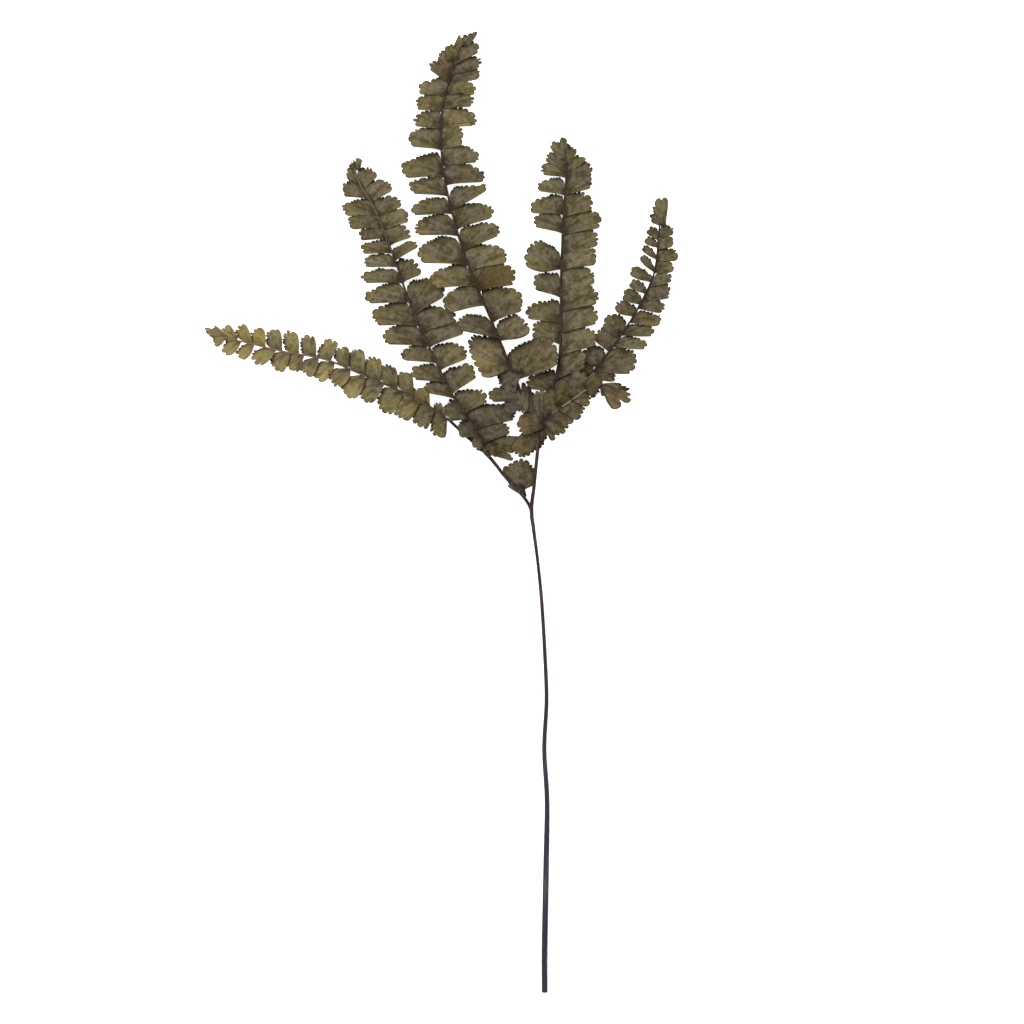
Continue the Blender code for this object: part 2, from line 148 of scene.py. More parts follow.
class Socket:
    """A shader output used in Python expressions: each operator adds the node that works it out."""

    def __init__(self, tree, output):
        self.tree = tree
        self.output = output

    def node(self, kind, settings, inputs, give=0):
        """Adds a node, makes its settings, then gives each input a value or a link."""
        made = self.tree.nodes.new(kind)
        for name, value in settings.items():
            setattr(made, name, value)
        for name, value in inputs.items():
            if isinstance(value, Socket):
                self.tree.links.new(value.output, made.inputs[name])
            else:
                made.inputs[name].default_value = value
        return Socket(self.tree, made.outputs[give])

    def math(self, operation, first, second=0.0):
        """One Math node on one or two values."""
        return self.node("ShaderNodeMath", {"operation": operation}, {0: first, 1: second})

    def __add__(self, other):
        return self.math("ADD", self, other)

    def __sub__(self, other):
        return self.math("SUBTRACT", self, other)

    def __rsub__(self, other):
        return self.math("SUBTRACT", other, self)

    def __mul__(self, other):
        return self.math("MULTIPLY", self, other)

    __radd__ = __add__
    __rmul__ = __mul__

    def __abs__(self):
        return self.math("ABSOLUTE", self)

    def part(self):
        """What is left above the whole number."""
        return self.math("FRACT", self)

    def rise(self, low, high):
        """0 below low, 1 above high, and a smooth step between them."""
        ends = {"Value": self, "From Min": low, "From Max": high}
        return self.node("ShaderNodeMapRange", {"interpolation_type": "SMOOTHSTEP"}, ends)

    def mix(self, first, second):
        """The first colour where this is 0, the second where it is 1."""
        colours = [(*c, 1.0) if isinstance(c, tuple) else c for c in (first, second)]
        return self.node(
            "ShaderNodeMix", {"data_type": "RGBA"}, {0: self, 6: colours[0], 7: colours[1]}, 2
        )

    def scaled(self, amount):
        """This colour times a number, by way of its three parts as a vector."""
        return self.node("ShaderNodeVectorMath", {"operation": "SCALE"}, {0: self, 3: amount})

    def parts(self):
        """The three numbers of a vector."""
        return [self.node("ShaderNodeSeparateXYZ", {}, {0: self}, k) for k in range(3)]

    def noise(self, scale, detail=2.0, stretch=(1.0, 1.0, 1.0)):
        """Smooth noise round 0.5, read at this place times the stretch."""
        place = self.node("ShaderNodeVectorMath", {"operation": "MULTIPLY"}, {0: self, 1: stretch})
        return self.node("ShaderNodeTexNoise", {}, {"Vector": place, "Scale": scale, "Detail": detail})

    def bump(self, strength, distance):
        """The normal of a surface raised by this height times the distance, in metres."""
        return self.node(
            "ShaderNodeBump", {}, {"Strength": strength, "Distance": distance, "Height": self}
        )


def new_material(name):
    """A material, its Principled shader, its object coordinates, and a reader of attributes."""
    made = bpy.data.materials.new(name)
    made.use_nodes = True
    tree = made.node_tree
    shader = tree.nodes["Principled BSDF"]
    start = Socket(tree, None)
    place = start.node("ShaderNodeTexCoord", {}, {}, 3)

    def read(attribute):
        return start.node("ShaderNodeAttribute", {"attribute_name": attribute}, {}, 1).parts()

    return made, shader, place, read


def feed(shader, values):
    """Links a socket, or sets a plain value, on each named input of the shader."""
    for name, value in values.items():
        if isinstance(value, Socket):
            value.tree.links.new(value.output, shader.inputs[name])
        else:
            shader.inputs[name].default_value = value


def smooth_route(points, steps):
    """A Catmull-Rom curve through the points, with `steps` stretches between each two.

    Between b and c, with neighbours a and d, it is half of (-a + 3b - 3c + d) s^3 +
    (2a - 5b + 4c - d) s^2 + (c - a) s + 2b, where s runs from 0 to 1.
    """
    points = np.array(points, float)
    before = np.vstack([2 * points[0] - points[1], points, 2 * points[-1] - points[-2]])
    share = np.linspace(0, 1, steps, endpoint=False)[:, None]
    spans = []
    for a, b, c, d in zip(before, before[1:], before[2:], before[3:]):
        cubic = (-a + 3 * b - 3 * c + d) * share**3 + (2 * a - 5 * b + 4 * c - d) * share**2
        spans.append(0.5 * (cubic + (c - a) * share + 2 * b))
    return np.vstack([*spans, points[-1:]])


def tangents_of(route):
    """The unit vector along the route at each of its points."""
    ahead = np.gradient(route, axis=0)
    return ahead / np.linalg.norm(ahead, axis=1)[:, None]


def run_of(route):
    """How far along the route each of its points lies."""
    return np.concatenate([[0], np.cumsum(np.linalg.norm(np.diff(route, axis=0), axis=1))])


def new_piece(name, points, quads, attributes, finish, node):
    """A smooth mesh piece with a vector at each point for each attribute, riding on the frame."""
    mesh = bpy.data.meshes.new(name)
    mesh.vertices.add(len(points))
    mesh.vertices.foreach_set("co", (points * MM).astype(np.float32).ravel())
    mesh.loops.add(quads.size)
    mesh.loops.foreach_set("vertex_index", quads.astype(np.int32).ravel())
    mesh.polygons.add(len(quads))
    mesh.polygons.foreach_set("loop_start", np.arange(0, quads.size, 4, dtype=np.int32))
    mesh.update(calc_edges=True)
    mesh.validate()
    for title, values in attributes.items():
        held = mesh.attributes.new(title, "FLOAT_VECTOR", "POINT")
        held.data.foreach_set("vector", values.astype(np.float32).ravel())
    mesh.shade_smooth()
    mesh.set_sharp_from_angle(angle=math.radians(SHARP_ANGLE))
    mesh.materials.append(finish)
    piece = bpy.data.objects.new(name, mesh)
    bpy.context.scene.collection.objects.link(piece)
    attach(piece, "root")
    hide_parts(node)


def tube(route, radii, sides, ripple):
    """A round bar: the route's point plus radius times (across cos turn + up sin turn).

    The radius changes by up to `ripple` of itself, as the sine of RIDGES times the turn, which
    winds slowly along the bar, times a quicker sine along it. Each end closes on the rings
    of END_CAP: how far each lies beyond the end, and how wide it is, both in radii. Returns
    the points, their faces and a vector at each point: turn from 0 to 1, share of the length,
    radius in millimetres.
    """
    run = run_of(route)
    ahead = tangents_of(route)
    beyond, widths = np.transpose(END_CAP)
    rows = np.pad(np.arange(len(route)), len(END_CAP), mode="edge")
    shrink = np.concatenate([widths, np.ones(len(route)), widths[::-1]])
    set_out = np.concatenate([-beyond, np.zeros(len(route)), beyond[::-1]])
    ahead, run, radii = ahead[rows], run[rows], radii[rows]
    middle = route[rows] + ahead * (set_out * radii)[:, None]
    across = np.cross(ahead, (0, 0, 1))
    across /= np.linalg.norm(across, axis=1)[:, None]
    up = np.cross(across, ahead)
    share = np.arange(sides) / sides
    turn = 2 * math.pi * share
    along = run[:, None]
    ridge = np.sin(RIDGES * turn + RIDGE_TWIST * along)
    uneven = 1 + ripple * ridge * np.sin(SWELL_BEAT * along + 1)
    reach = (radii * shrink)[:, None, None] * uneven[:, :, None]
    circle = across[:, None] * np.cos(turn)[:, None] + up[:, None] * np.sin(turn)[:, None]
    points = (middle[:, None] + reach * circle).reshape(-1, 3)
    ring, side = np.meshgrid(np.arange(len(rows) - 1), np.arange(sides), indexing="ij")
    here = ring * sides + side
    beside = ring * sides + (side + 1) % sides
    quads = np.stack([here, beside, beside + sides, here + sides], axis=-1).reshape(-1, 4)
    about = np.broadcast_arrays(share, along / run[-1], radii[:, None])
    return points, quads, np.stack(about, axis=-1).reshape(-1, 3)


def stem_material():
    """Polished stem: blue-black to maroon along its length, with fine pale streaks and dust.

    Object coordinates are in metres, so every noise scale is in waves a metre.
    """
    made, shader, place, _ = new_material("polished_stem")
    along = place.parts()[1]
    colour = along.rise(BLUE_UP_TO * MM, MAROON_FROM * MM).mix(BLUE_BLACK, MAROON)
    streaks = place.noise(STREAK_NOISE, 3.0, STREAK_STRETCH).rise(0.5, 0.75)
    dust = place.noise(DUST_NOISE, 2.0).rise(0.62, 0.8)
    colour = (streaks * 0.7).mix(colour, STEM_STREAK)
    colour = (dust * 0.3).mix(colour, STEM_STREAK)
    feed(shader, {
        "Base Color": colour,
        "Roughness": streaks * 0.15 + 0.36,
        "Specular IOR Level": STEM_GLOSS,
        "Normal": (streaks + dust * 0.4).bump(0.5, STEM_BUMP * MM),
    })
    return made


def make_stalk():
    """The stem with its right arm, and the left arm, each a tube of changing width."""
    made = stem_material()
    for name, points, widths in (
        ("stalk", STIPE_ROUTE, STIPE_DIAMETERS), ("left_arm", ARM_ROUTE, ARM_DIAMETERS),
    ):
        route = smooth_route(points, STIPE_STEPS)
        knots = np.arange(len(points)) * STIPE_STEPS
        radii = np.interp(np.arange(len(route)), knots, widths) / 2
        points, quads, _ = tube(route, radii, STIPE_SIDES, STIPE_RIPPLE)
        new_piece(name, points, quads, {}, made, "stipe")


make_stalk()


# The far left pinna. Each pinna is a thin rachis with a leaflet at every joint on either side.
# A leaflet is a thin supple blade that fans out from its root: a whole lower edge, a lobed
# outer end, and a toothed upper edge that rolls under and carries dark bead-like spore cases.

# Forms that single leaflets take in place of their pinna's own.
FAN = {"flare": 0.35}
HANGING = {"flare": 0.55}
LEANING = {"flare": 0.6, "slant": (0.85, 0.2)}
FOLDED = {"tilt": 38.0, "pitch": 4.0, "tint": -0.5, "warmth": 1.0}
RESTING = {"tilt": 0.0, "pitch": -12.0}

# The blade's outline and how it stands: millimetres, degrees, or shares of its length or width.
OUTER_ROUND = 0.82
BASE_ROUND = 0.76
BASE_SPREAD = 0.14
UPPER_SIDE = (1.52, -0.86)
LOWER_SIDE = (1.04, 0.10)
FLARE_FROM = 0.35
BASE_EDGE_OFF = 0.2
ROOT_SUNK = 0.35
ROOT_BAND = (-0.64, -0.02)
ROOT_NARROWED = 0.9
LEAST_ROOT = -0.1
LOW_BENDS = (0.12, 0.45)
BASE_BENDS = (0.02, 0.25)
TOOTHED_RUN = (-52.0, 147.0)
SHINGLE_TILT = 8.0
TILT_SPREAD = 2.0
PITCH_SPREAD = 3.0
OUTER_SLANT = 0.35
MOST_SLANT = 0.75
ALMOST_IN_LINE = 0.75

# Teeth and notches. Each pair named SHARES is the least and the most of a random share.
RIM_POINTS = 240
TOOTH_PITCH = 2.9
FEWEST_TEETH = 4
COLUMNS_PER_TOOTH = 8
OUTER_SHARE = 0.42
OUTER_TOOTH = 1.35
UPPER_TOOTH = 0.85
WIDTH_SHARES = (0.5, 1.6)
TOOTH_RISE = 0.36
RISE_SHARES = (0.3, 1.7)
NOTCH_DEPTH = 0.85
DEPTH_SHARES = (0.3, 1.4)
DEEP_NOTCH = 0.8
DEEP_CHANCE = 0.2
OUTER_CUT = 1.4
END_NOTCH = 0.1
LEAST_CUT = 0.35
CUT_WIDTH = 14
WANDER = (0.45, 0.3)
WANDER_BEATS = (1.3, 3.1)

# The blade's thickness and relief: millimetres, or shares of its length, width or fan.
BLADE_THICKNESS = 0.17
ROWS = np.array([0.0, 0.07, 0.16, 0.27, 0.39, 0.51, 0.63, 0.74, 0.84, 0.915, 0.965, 1.0])
CROWN = 0.075
DROOP = 0.045
ROLL = 0.9
ROLL_FROM = 0.35
END_ROLL = 0.45
END_ROLL_FROM = 0.72
ROLL_LIMIT = 1.2
RIPPLE = 0.4
RIPPLE_BEAT = 2.5
PLEAT = 0.10
PLEAT_BEAT = 6
TOOTH_CROWN = 0.10
BEAD_RISE = 0.22
BEAD_BODY = 1.2
BEAD_SHARES = (0.55, 1.0)
BEADS_FROM = 0.38
BEADS_GROW = 0.2
BEADS_FADE = 0.06
BEAD_ROW = 0.86
BEAD_ROW_FADE = 0.09
ABOVE_FLOOR = 0.02
LEAST_THICK = 0.9

# The rachis, and how a pinna is drawn at random.
RACHIS_SIDES = 10
RACHIS_STEPS = 10
RACHIS_STOUT = 1.12
RACHIS_RIPPLE = 0.05
WIRE_NOISE = 500.0
WIRE_DUST_NOISE = 2500.0
RACHIS_GLOSS = 0.12
RACHIS_BUMP = 0.06
# Where round the rachis its groove runs, with a pale line of painted highlight along it.
GROOVE_AND_HIGHLIGHT_TURN = 0.29
LEAD_IN = 1.3
SECOND_SEED = 100

# A rachis's dark colour, its pale one, and the share of its length beyond which it pales.
DARK_RACHIS = ((0.018, 0.011, 0.009), (0.062, 0.043, 0.031), 0.8)
TAN_RACHIS = ((0.036, 0.025, 0.017), (0.190, 0.140, 0.080), 0.35)
HALF_TAN_RACHIS = ((0.024, 0.015, 0.012), (0.130, 0.096, 0.062), 0.6)
PALE_RACHIS = ((0.070, 0.048, 0.032), (0.250, 0.190, 0.130), 0.1)

# The leaf's finish. A row of VEINS is how many there are, the reach from and to which they
# run, and their half width as a share of the space between two.
BROAD_NOISE = 95.0
PATCH_NOISE = 210.0
FINE_NOISE = 420.0
GRAIN_NOISE = 2300.0
FAN_STRETCH = (15.0, 1.6, 7.0)
LEAF_GLOSS = 0.06
LEAF_BUMP = 0.22
VEINS = ((7, 0.08, 0.3, 0.1), (14, 0.3, 0.62, 0.2), (28, 0.62, 1.02, 0.2))
VEIN_FORK = 0.25
VEIN_FADE = 0.01
BEAD_COLOUR = (0.013, 0.011, 0.005)
EDGE_COLOUR = (0.030, 0.023, 0.009)
ROOT_COLOUR = (0.026, 0.017, 0.008)
DARK_OLIVE = (0.040, 0.030, 0.005)
PURPLE_BROWN = (0.092, 0.066, 0.050)
MOSS = (0.078, 0.072, 0.030)
# Grey patches of painted sheen on the leaves.
PAINTED_SHEEN_GREY = (0.158, 0.142, 0.104)
RUST = (0.150, 0.070, 0.028)
# Blue-grey for the darkest leaflets, partly their own colour and partly painted sheen.
SLATE_AND_PAINTED_SHEEN = (0.076, 0.073, 0.068)
OCHRE = (0.072, 0.048, 0.008)
YELLOWED = (0.150, 0.119, 0.013)


def rim_at(angle, length, width, flare, point, base):
    """Points round a blade: cosine and sine of the angle, each to a power of its own size.

    The power is `base` towards the root and OUTER_ROUND towards the outer end, and a low one
    makes that end squarer. The upper side narrows outwards and the lower side widens, each as
    first + second times the share of the length, so the blade sags like a ham. `flare` times
    (share - FLARE_FROM) widens both sides, and `point` times share squared narrows them.
    """
    power = np.where(np.cos(angle) > 0, OUTER_ROUND, base)
    share = 0.5 + 0.5 * np.sign(np.cos(angle)) * np.abs(np.cos(angle)) ** power
    half = 0.5 * np.sign(np.sin(angle)) * np.abs(np.sin(angle)) ** power
    upper = UPPER_SIDE[0] + UPPER_SIDE[1] * share
    lower = LOWER_SIDE[0] + LOWER_SIDE[1] * share
    half *= np.where(np.sin(angle) > 0, upper, lower) + flare * (share - FLARE_FROM)
    half *= 1 - point * share**2
    return np.column_stack([BASE_EDGE_OFF + share * (length - BASE_EDGE_OFF), half * width])


def lobe_of(p):
    """A tooth's round profile: the root of 4 p (1 - p), where p runs from 0 to 1 over it."""
    return np.sqrt(4 * p * (1 - p))


def wave(turns):
    """The sine of a number of full turns."""
    return np.sin(2 * np.pi * turns)


def toothed_rim(length, width, flare, point, base, pitch, cut, draw):
    """The blade's toothed edge, eight points to a tooth, and what each point is part of.

    Teeth of uneven width stand on the rim, wider and deeper at the outer end. Across a tooth
    the edge moves out by rise times lobe and in by notch depth times (1 - lobe). Some notches
    are deep, a narrow blade's are shallower, and the whole rim wanders in and out by two
    waves. Returns the rim, and each point's share of it and place across its own tooth.
    """
    angle = np.radians(np.linspace(*TOOTHED_RUN, RIM_POINTS))
    smooth = rim_at(angle, length, width, flare, point, base)
    run = run_of(smooth)
    teeth = max(FEWEST_TEETH, round(run[-1] / pitch))
    outer_teeth = OUTER_SHARE * teeth
    sizes = np.where(np.arange(teeth) < outer_teeth, OUTER_TOOTH, UPPER_TOOTH)
    ends = np.concatenate([[0], np.cumsum(sizes * draw.uniform(*WIDTH_SHARES, teeth))])
    phase = np.arange(teeth * COLUMNS_PER_TOOTH + 1) / COLUMNS_PER_TOOTH
    at = np.interp(phase, np.arange(teeth + 1), ends / ends[-1] * run[-1])
    rim = np.column_stack([np.interp(at, run, smooth[:, k]) for k in range(2)])
    ahead = np.gradient(rim, axis=0)
    outward = np.column_stack([ahead[:, 1], -ahead[:, 0]]) / np.linalg.norm(ahead, axis=1)[:, None]
    tooth = np.minimum(phase.astype(int), teeth - 1)
    p = phase - tooth
    lobe = lobe_of(p)
    rise = TOOTH_RISE * draw.uniform(*RISE_SHARES, teeth)[tooth]
    notches = NOTCH_DEPTH * draw.uniform(*DEPTH_SHARES, teeth + 1)
    notches += DEEP_NOTCH * (draw.random(teeth + 1) < DEEP_CHANCE)
    notches[: int(outer_teeth) + 1] *= OUTER_CUT
    notches[[0, -1]] = END_NOTCH
    fit = cut * min(1.0, LEAST_CUT + width / CUT_WIDTH)
    out = lobe * rise - (1 - lobe) * np.interp(phase, np.arange(teeth + 1), notches)
    share = phase / teeth
    for size, beat, start in zip(WANDER, WANDER_BEATS, draw.uniform(0, 1, 2)):
        out += size * wave(beat * share + start)
    return rim + outward * (fit * out)[:, None], share, p


def blade_sheet(length, width, slants, draw, flare, point, base, pitch, cut):
    """A leaflet's upper face as a grid: rays from the root to the toothed rim, by rows.

    Each ray is a cubic Bezier curve from the root band, a short line beside the rachis. The
    first bends down along the lower edge and the last up along the base edge, and those
    between them straighten with the fourth power of their share of the rim. The height above
    the plate is a crown and a droop, less the roll of the upper edge and the outer end, with
    a ripple along the rim, pleats, and a bead on each upper tooth. Returns the points, their
    fan coordinates (share of the rim, share of the ray, place on the tooth) and the beads.
    """
    rim, share, p = toothed_rim(length, width, flare, point, base, pitch, cut, draw)
    lowest = np.clip(ROOT_BAND[0] + ROOT_NARROWED * flare, ROOT_BAND[0], LEAST_ROOT)
    root = np.column_stack([
        np.full(len(share), -ROOT_SUNK), width * np.interp(share, (0, 1), (lowest, ROOT_BAND[1])),
    ])
    low_bend = np.column_stack([
        np.multiply(LOW_BENDS, length), width * np.array([0.75 * lowest, -0.5 - 0.2 * flare]),
    ])
    base_bend = np.column_stack([
        (0.5 * BASE_EDGE_OFF, BASE_EDGE_OFF), np.multiply(BASE_BENDS, width),
    ])
    controls = [root]
    for k in range(2):
        straight = root + (rim - root) * (k + 1) / 3
        to_low = low_bend[k] - straight[0]
        to_base = base_bend[k] - straight[-1]
        controls.append(straight + (1 - share[:, None]) ** 4 * to_low + share[:, None] ** 4 * to_base)
    controls.append(rim)
    r = ROWS[:, None, None]
    a, b, c, d = controls
    flat = (1 - r) ** 3 * a + 3 * (1 - r) ** 2 * r * b + 3 * (1 - r) * r**2 * c + r**3 * d

    x = flat[..., 0] / length
    y = flat[..., 1] / (0.5 * width)
    flat[..., 0] += flat[..., 1] * (slants[0] * (1 - x) + slants[1] * x)
    r = ROWS[:, None]
    upper = np.clip((share - BEADS_FROM) / BEADS_GROW, 0, 1)
    upper *= np.clip((1.0 - share) / BEADS_FADE, 0.3, 1)
    bead = np.clip((r - BEAD_ROW) / BEAD_ROW_FADE, 0, 1) * upper * np.sin(np.pi * p) ** 2
    bead *= draw.uniform(*BEAD_SHARES)
    crown, droop, sway, beat, roll = draw.uniform(-1, 1, 5)
    height = CROWN * width * (1 + 0.5 * crown) * (1 - (2 * x - 1) ** 2) * (1 - 0.5 * y**2)
    height += DROOP * droop * length * x**2
    rolled = np.clip((y - ROLL_FROM) / (1 - ROLL_FROM), 0, ROLL_LIMIT)
    height -= ROLL * (1 + 0.5 * roll) * rolled**2
    height -= END_ROLL * np.clip((x - END_ROLL_FROM) / (1 - END_ROLL_FROM), 0, ROLL_LIMIT) ** 2
    height += RIPPLE * wave((RIPPLE_BEAT + beat) * share + sway) * r**2
    height += PLEAT * wave((PLEAT_BEAT + beat) * share + roll) * r * (1.3 - r)
    height += TOOTH_CROWN * (lobe_of(p) - 0.5) * r**4
    height += BEAD_RISE * bead
    sheet = np.dstack([flat, height])
    fan = np.dstack(np.broadcast_arrays(share, r, p))
    return sheet, fan, bead


def blade_axes(root, ahead, tip, tilt, pitch, slant, flip):
    """A blade's length, its axes (out along it, across it towards the pinna's tip, up) and slants.

    A slant is how far a point moves outwards for each millimetre across the blade. At the base
    it keeps the base edge in line with the rachis. A flipped blade has its teeth the other way.
    """
    along = np.array([tip[0] - root[0], tip[1] - root[1], 0.0])
    length = np.linalg.norm(along)
    along /= length
    level = np.array([ahead[0], ahead[1], 0.0]) / math.hypot(ahead[0], ahead[1])
    square = level - (level @ along) * along
    square /= np.linalg.norm(square)
    in_line = level @ along
    slants = (0.0, 0.0)
    if abs(in_line) < ALMOST_IN_LINE:
        slants = (np.clip(in_line / (level @ square), -MOST_SLANT, MOST_SLANT), OUTER_SLANT * in_line)
    slants = slant or slants
    square = -square if flip else square
    up = np.array([0.0, 0.0, 1.0])
    rise, lean = math.radians(pitch), math.radians(tilt)
    along = along * math.cos(rise) + up * math.sin(rise)
    beside = square * math.cos(lean) - up * math.sin(lean)
    normal = np.cross(along, beside)
    facing = 1 if normal[2] > 0 else -1
    normal *= facing / np.linalg.norm(normal)
    return length / math.cos(rise), np.array([along, beside, normal]), slants, facing


def closed_sheet(top, under, facing):
    """Faces of a thin plate: upper grid, lower grid turned over, and a strip round the rim."""
    rows, columns = top.shape[:2]
    index = np.arange(rows * columns).reshape(rows, columns)
    upper = np.stack([index[:-1, :-1], index[1:, :-1], index[1:, 1:], index[:-1, 1:]], -1)
    lower = upper[..., ::-1] + rows * columns
    edge = np.concatenate([index[:-1, 0], index[-1, :-1], index[:0:-1, -1], index[0, :0:-1]])
    after = np.roll(edge, -1)
    rim = np.stack([after, edge, edge + rows * columns, after + rows * columns], -1)
    quads = np.vstack([upper.reshape(-1, 4), lower.reshape(-1, 4), rim])
    return quads if facing > 0 else quads[:, ::-1]


def leaflet(root, heading, tip, width, tone, draw, tilt, pitch, flare, base, point=0.0,
            teeth=TOOTH_PITCH, cut=1.0, slant=None, flip=False):
    """One leaflet in place: its points, faces, and the two vectors that its finish reads.

    The upper face is the root plus the sheet's numbers times the blade's axes, the lower one
    lies a thickness below it, and neither goes below the surface that the frond lies on.
    """
    length, axes, slants, facing = blade_axes(root, heading, tip, tilt, pitch, slant, flip)
    sheet, fan, bead = blade_sheet(length, width, slants, draw, flare, point, base, teeth, cut)
    top = root + sheet @ axes
    thick = BLADE_THICKNESS * (1 + BEAD_BODY * bead)
    under = top - thick[..., None] * axes[2]
    under[..., 2] = np.maximum(under[..., 2], ABOVE_FLOOR)
    top[..., 2] = np.maximum(top[..., 2], under[..., 2] + thick * LEAST_THICK)
    points = np.vstack([top.reshape(-1, 3), under.reshape(-1, 3)])
    marks = np.dstack([*np.broadcast_arrays(tone[0], tone[1], bead)]).reshape(-1, 3)
    fan = fan.reshape(-1, 3)
    return points, closed_sheet(top, under, facing), np.vstack([fan, fan]), np.vstack([marks, marks])


def leaf_material(name, near, middle, outer, root=0.85):
    """Preserved leaf: dull brown near the root, olive in the middle, yellower at the outer end.

    Layers go over that one by one, each a mask, the most that shows of it, and its colour, and
    the last is the dark root, which shows by `root` at most. The grey layer is painted sheen in
    patches, and the slate layer is partly the leaf's own blue-grey and partly painted sheen. A
    leaflet's tint makes it lighter and its warmth moves it from slate to ochre. Veins fork three
    times on their way out and are paler. Then come a band of painted shade along the upper edge,
    where it rolls under and the next leaflet lies over it, a thin dark edge all round, and the
    near-black spore cases. The streaks are noise on the fan coordinates and the tint.
    """
    made, shader, place, read = new_material(name)
    share, reach, _ = read("fan")
    tint, warmth, bead = read("tone")
    broad = place.noise(BROAD_NOISE, 2.0)
    patches = place.noise(PATCH_NOISE, 2.0)
    fine = place.noise(FINE_NOISE, 3.0)
    grain = place.noise(GRAIN_NOISE, 2.0)
    fanned = share.node("ShaderNodeCombineXYZ", {}, {0: share, 1: reach, 2: tint})
    streaks = fanned.noise(1.0, 3.0, FAN_STRETCH)
    outer_end = (share + (streaks - 0.5) * 0.4).rise(0.66, 0.2)
    patchy_warmth = warmth + (patches - 0.5) * 3.0
    rusty = (fine * 0.6 + broad * 0.4 + warmth * 0.05).rise(0.56, 0.68)
    layers = (
        ((reach + (streaks - 0.5) * 0.5).rise(0.5, 0.95) * outer_end, 0.9, outer),
        ((broad + warmth * 0.07).rise(0.60, 0.40), 0.45, PURPLE_BROWN),
        (patches.rise(0.48, 0.66), 0.4, MOSS),
        # grey patches of painted sheen
        ((patches * 0.4 + fine * 0.6 - broad * 0.4).rise(0.24, 0.46), 0.4, PAINTED_SHEEN_GREY),
        ((streaks * 0.4 + patches * 0.6).rise(0.51, 0.38), 0.52, DARK_OLIVE),
        # blue-grey patches on cool leaflets, partly their own colour and partly painted sheen
        (patchy_warmth.rise(-0.8, -2.2), 0.6, SLATE_AND_PAINTED_SHEEN),
        (patchy_warmth.rise(1.3, 2.6), 0.75, OCHRE),
        (rusty * reach.rise(0.45, 1.0) * outer_end, 0.5, RUST),
        (tint.rise(0.4, 3.4), 0.4, YELLOWED),
        (reach.rise(0.32, 0.04), root, ROOT_COLOUR),
    )
    colour = (reach + (streaks - 0.5) * 0.6).rise(0.1, 0.62).mix(near, middle)
    for mask, most, layer in layers:
        colour = (mask * most).mix(colour, layer)

    levels = []
    for number, begin, end, half_width in VEINS:
        apart = (share * number).part() - 0.5
        fork = reach.rise(begin, end) * VEIN_FORK
        near_vein = abs(abs(apart) - fork).rise(half_width, 0.0)
        begun = reach.rise(begin - VEIN_FADE, begin + VEIN_FADE)
        levels.append(near_vein * (begun * reach.rise(end + VEIN_FADE, end - VEIN_FADE)))
    veins = sum(levels)
    shade = tint * 0.15 + (grain - 0.5) * 1.1 + (fine - 0.5) * 0.6 + (streaks - 0.5) * 0.5
    shade = shade + veins * 0.16 + 0.935
    # A band of painted shade along the upper edge, where it rolls under and the next leaflet lies over
    # it.
    painted_shade_band = share.rise(0.33, 0.5) * (reach + (fine - 0.5) * 0.3).rise(0.68, 0.97)
    colour = colour.scaled(shade * (1 - painted_shade_band * 0.6))
    edge = reach.rise(0.955, 0.985) + share.rise(0.035, 0.012) * reach.rise(0.1, 0.2)
    colour = (edge * 0.7).mix(colour, EDGE_COLOUR)
    colour = bead.rise(0.12, 0.45).mix(colour, BEAD_COLOUR)
    feed(shader, {
        "Base Color": colour,
        "Roughness": fine * 0.3 + 0.45,
        "Specular IOR Level": LEAF_GLOSS,
        "Normal": (veins * 0.8 + grain * 0.5 + fine * 1.4).bump(0.9, LEAF_BUMP * MM),
    })
    return made


def rachis_material(name, colours):
    """Wiry rachis: dark, a painted highlight down the groove on top, and a paler outer stretch."""
    dark, pale, bare_from = colours
    made, shader, place, read = new_material(name)
    turn, along, _ = read("round")
    streaks = place.noise(WIRE_NOISE, 3.0)
    # A pale line of painted highlight down the groove on top; the bump follows it too.
    groove_and_highlight = abs(turn - GROOVE_AND_HIGHLIGHT_TURN).rise(0.085, 0.02) * streaks.rise(0.38, 0.6)
    bare = (along + (streaks - 0.5) * 0.3).rise(bare_from, bare_from + 0.45)
    colour = (groove_and_highlight * 0.6 + bare * 0.7).mix(dark, pale)
    colour = (place.noise(WIRE_DUST_NOISE).rise(0.6, 0.8) * 0.3).mix(colour, pale)
    feed(shader, {
        "Base Color": colour,
        "Roughness": streaks * 0.3 + 0.35,
        "Specular IOR Level": RACHIS_GLOSS,
        "Normal": (streaks + groove_and_highlight).bump(0.5, RACHIS_BUMP * MM),
    })
    return made


